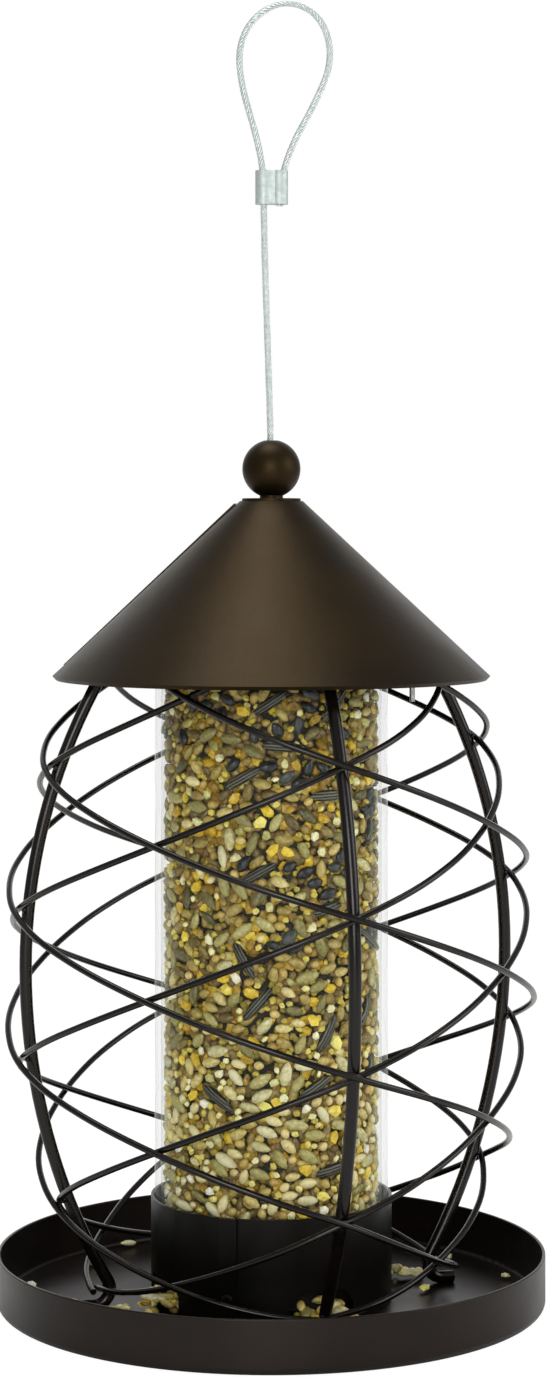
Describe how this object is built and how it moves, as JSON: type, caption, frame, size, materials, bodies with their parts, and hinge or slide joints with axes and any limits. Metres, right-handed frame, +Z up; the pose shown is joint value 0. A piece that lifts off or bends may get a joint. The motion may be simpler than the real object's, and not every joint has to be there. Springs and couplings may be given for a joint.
{
  "type": "hanging bird feeder",
  "caption": "Hanging seed feeder: clear seed tube in a barrel-shaped wire cage on a round tray, with a conical roof and ball that slide up the hanging cable",
  "frame": {"origin": "centre of the tray's underside", "axes": "+Z up along the seed tube; the front, -Y, has the cup's seam a little to its left; +X to the right"},
  "size_m": [0.178, 0.178, 0.4239],
  "materials": {
    "dark_paint": "satin dark bronze paint",
    "cage_paint": "satin near-black brown coating",
    "roof_bronze": "metallic bronze-brown paint",
    "clear_tube": "clear, smooth",
    "seed": "dry mixed seed",
    "bright_wire": "zinc-plated",
    "cable_steel": "galvanised strand",
    "crimp_metal": "pressed, matt"
  },
  "bodies": {
    "feeder_body": {"tray_pan": "dark_paint", "tube_cup": "dark_paint", "seam_rivet": "dark_paint", "tube_seat_ring": "dark_paint", "seed_tube": "clear_tube", "seed_deflector": "dark_paint", "seed_mix": "seed", "rib_front": "cage_paint", "rib_right": "cage_paint", "rib_rear": "cage_paint", "rib_left": "cage_paint", "cage_top_ring": "cage_paint", "weave_right_front": "cage_paint", "weave_right_right": "cage_paint", "weave_right_rear": "cage_paint", "weave_right_left": "cage_paint", "weave_left_front": "cage_paint", "weave_left_right": "cage_paint", "weave_left_rear": "cage_paint", "weave_left_left": "cage_paint", "bail_yoke": "bright_wire", "cable_stop": "crimp_metal", "hanging_cable": "cable_steel", "loop_ferrule": "crimp_metal"},
    "finial": {"ball_finial": "roof_bronze", "neck_sleeve": "bright_wire"},
    "roof": {"roof_cone": "roof_bronze", "roof_top_disc": "roof_bronze"}
  },
  "joints": [
    {"name": "finial_slide", "type": "slide", "parent": "feeder_body", "child": "finial", "axis": [-0.03, 0, 0.9995], "range_m": [0, 0.0764]},
    {"name": "roof_spin", "type": "hinge", "parent": "finial", "child": "roof", "pos_m": [0, 0, 0.26091], "axis": [0, 0, 1], "continuous": true}
  ]
}
